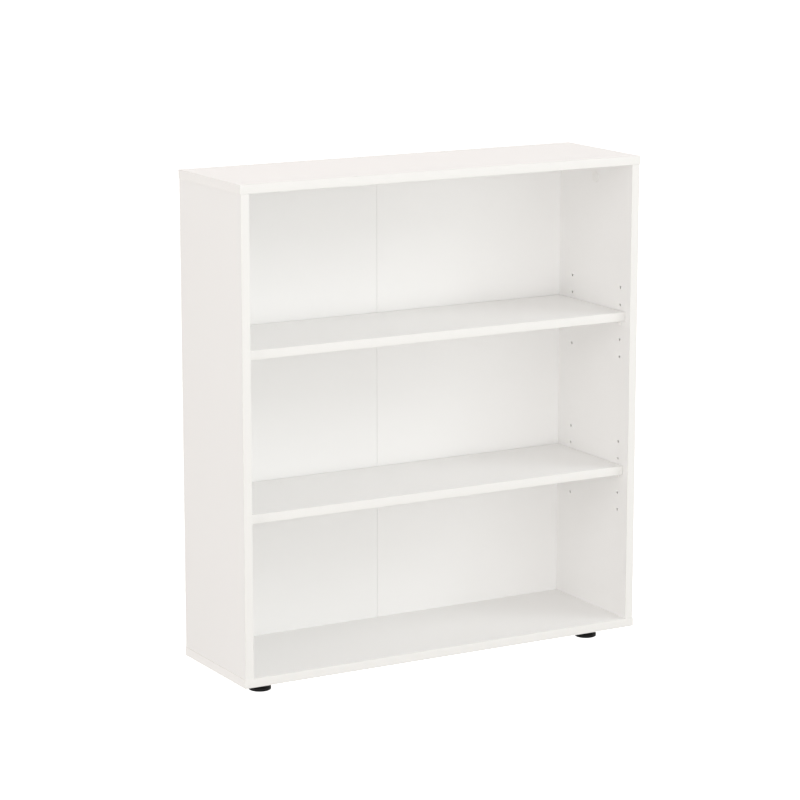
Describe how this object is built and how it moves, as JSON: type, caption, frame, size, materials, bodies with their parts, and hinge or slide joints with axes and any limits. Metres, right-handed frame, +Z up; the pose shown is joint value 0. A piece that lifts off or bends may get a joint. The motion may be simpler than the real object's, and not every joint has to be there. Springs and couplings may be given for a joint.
{
  "type": "open bookcase",
  "caption": "Low white open bookcase with loose height-adjustable shelves, a thin two-part back and screw-in levelling feet.",
  "frame": {"origin": "on the floor, under the middle of the overall box", "axes": "+X to the right as seen from the front, +Y from the open front to the back, +Z up"},
  "size_m": [0.803, 0.2408, 0.9],
  "materials": {
    "white_melamine_board": "satin white melamine on chipboard",
    "white_edge_band": "satin white plastic edging",
    "white_plastic": "moulded, satin",
    "white_fibreboard": "white painted face, bare brown rear",
    "white_paper_tape": "matt",
    "bright_steel": "bright drawn wire",
    "zinc_plated_steel": "zinc plated",
    "zinc_casting": "die-cast, dull",
    "beech": "raw, fluted",
    "black_plastic": "moulded, fine grain"
  },
  "bodies": {
    "case": {"top_panel": "white_melamine_board", "bottom_panel": "white_melamine_board", "left_side_panel": "white_melamine_board", "right_side_panel": "white_melamine_board", "top_panel_front_band": "white_edge_band", "top_panel_end_bands": "white_edge_band", "bottom_panel_front_band": "white_edge_band", "bottom_panel_end_bands": "white_edge_band", "left_side_front_band": "white_edge_band", "right_side_front_band": "white_edge_band", "lower_shelf_supports": "white_plastic", "upper_shelf_supports": "white_plastic", "cam_cover_caps": "white_plastic", "back_panel_left": "white_fibreboard", "back_panel_right": "white_fibreboard", "back_fold_tape": "white_paper_tape", "back_panel_nails": "bright_steel", "bottom_screws": "zinc_plated_steel", "cam_bolts": "zinc_plated_steel", "cam_locks": "zinc_casting", "top_dowels": "beech", "foot_sockets": "black_plastic"},
    "upper_shelf_body": {"upper_shelf": "white_melamine_board", "upper_shelf_front_band": "white_edge_band"},
    "lower_shelf_body": {"lower_shelf": "white_melamine_board", "lower_shelf_front_band": "white_edge_band"},
    "front_left_pad_body": {"front_left_foot_pad": "black_plastic"},
    "front_left_stem_body": {"front_left_foot_stem": "black_plastic"},
    "front_right_pad_body": {"front_right_foot_pad": "black_plastic"},
    "front_right_stem_body": {"front_right_foot_stem": "black_plastic"},
    "rear_left_pad_body": {"rear_left_foot_pad": "black_plastic"},
    "rear_left_stem_body": {"rear_left_foot_stem": "black_plastic"},
    "rear_right_pad_body": {"rear_right_foot_pad": "black_plastic"},
    "rear_right_stem_body": {"rear_right_foot_stem": "black_plastic"}
  },
  "joints": [
    {"name": "upper_shelf_draw", "type": "slide", "parent": "case", "child": "upper_shelf_body", "axis": [0, -1, 0], "range_m": [0, 0.235]},
    {"name": "lower_shelf_draw", "type": "slide", "parent": "case", "child": "lower_shelf_body", "axis": [0, -1, 0], "range_m": [0, 0.235]},
    {"name": "front_left_foot_height", "type": "slide", "parent": "case", "child": "front_left_pad_body", "axis": [0, 0, -1], "range_m": [-0.004, 0.005]},
    {"name": "front_left_stem_turn", "type": "hinge", "parent": "front_left_pad_body", "child": "front_left_stem_body", "pos_m": [-0.3395, -0.0544, 0.02], "axis": [0, 0, -1], "range_deg": [-481, 601]},
    {"name": "front_right_foot_height", "type": "slide", "parent": "case", "child": "front_right_pad_body", "axis": [0, 0, -1], "range_m": [-0.004, 0.005]},
    {"name": "front_right_stem_turn", "type": "hinge", "parent": "front_right_pad_body", "child": "front_right_stem_body", "pos_m": [0.3395, -0.0544, 0.02], "axis": [0, 0, -1], "range_deg": [-481, 601]},
    {"name": "rear_left_foot_height", "type": "slide", "parent": "case", "child": "rear_left_pad_body", "axis": [0, 0, -1], "range_m": [-0.004, 0.005]},
    {"name": "rear_left_stem_turn", "type": "hinge", "parent": "rear_left_pad_body", "child": "rear_left_stem_body", "pos_m": [-0.3395, 0.0506, 0.02], "axis": [0, 0, -1], "range_deg": [-481, 601]},
    {"name": "rear_right_foot_height", "type": "slide", "parent": "case", "child": "rear_right_pad_body", "axis": [0, 0, -1], "range_m": [-0.004, 0.005]},
    {"name": "rear_right_stem_turn", "type": "hinge", "parent": "rear_right_pad_body", "child": "rear_right_stem_body", "pos_m": [0.3395, 0.0506, 0.02], "axis": [0, 0, -1], "range_deg": [-481, 601]}
  ],
  "couplings": [
    {"joint": "front_left_stem_turn", "follows": "front_left_foot_height", "rad_per_m": 2094.4},
    {"joint": "front_right_stem_turn", "follows": "front_right_foot_height", "rad_per_m": 2094.4},
    {"joint": "rear_left_stem_turn", "follows": "rear_left_foot_height", "rad_per_m": 2094.4},
    {"joint": "rear_right_stem_turn", "follows": "rear_right_foot_height", "rad_per_m": 2094.4}
  ]
}
